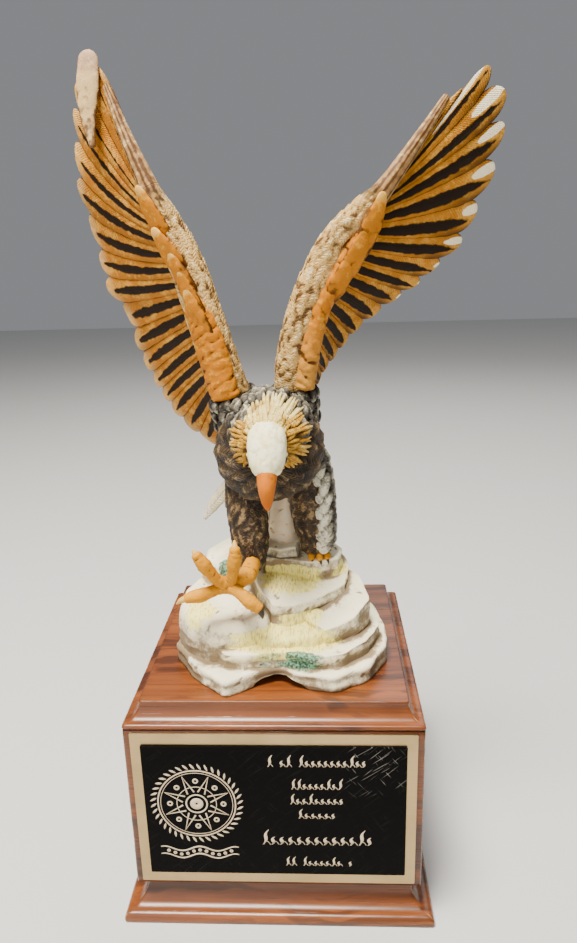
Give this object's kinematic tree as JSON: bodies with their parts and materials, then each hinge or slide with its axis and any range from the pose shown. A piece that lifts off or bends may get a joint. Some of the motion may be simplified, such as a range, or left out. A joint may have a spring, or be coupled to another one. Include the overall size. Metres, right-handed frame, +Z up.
{
  "type": "eagle trophy",
  "caption": "Trophy: a painted cast eagle landing on a stepped rock, wings raised, on a square walnut plinth with a black and gold name plate.",
  "frame": {"origin": "middle of the plinth's underside", "axes": "+Z up, -Y towards the front with the name plate, +X to the viewer's right"},
  "size_m": [0.2238, 0.1656, 0.4426],
  "materials": {
    "walnut": "satin lacquer",
    "satin_gold": "satin",
    "black_enamel": "gloss",
    "painted_resin": "painted and dry-brushed",
    "feather_paint": "painted and dry-brushed"
  },
  "bodies": {
    "root": {"base_board": "walnut", "plinth_box": "walnut", "top_board": "walnut", "gold_plate": "satin_gold", "black_plate": "black_enamel", "eagle_and_rock": "painted_resin", "left_wing": "feather_paint", "right_wing": "feather_paint"}
  },
  "joints": []
}
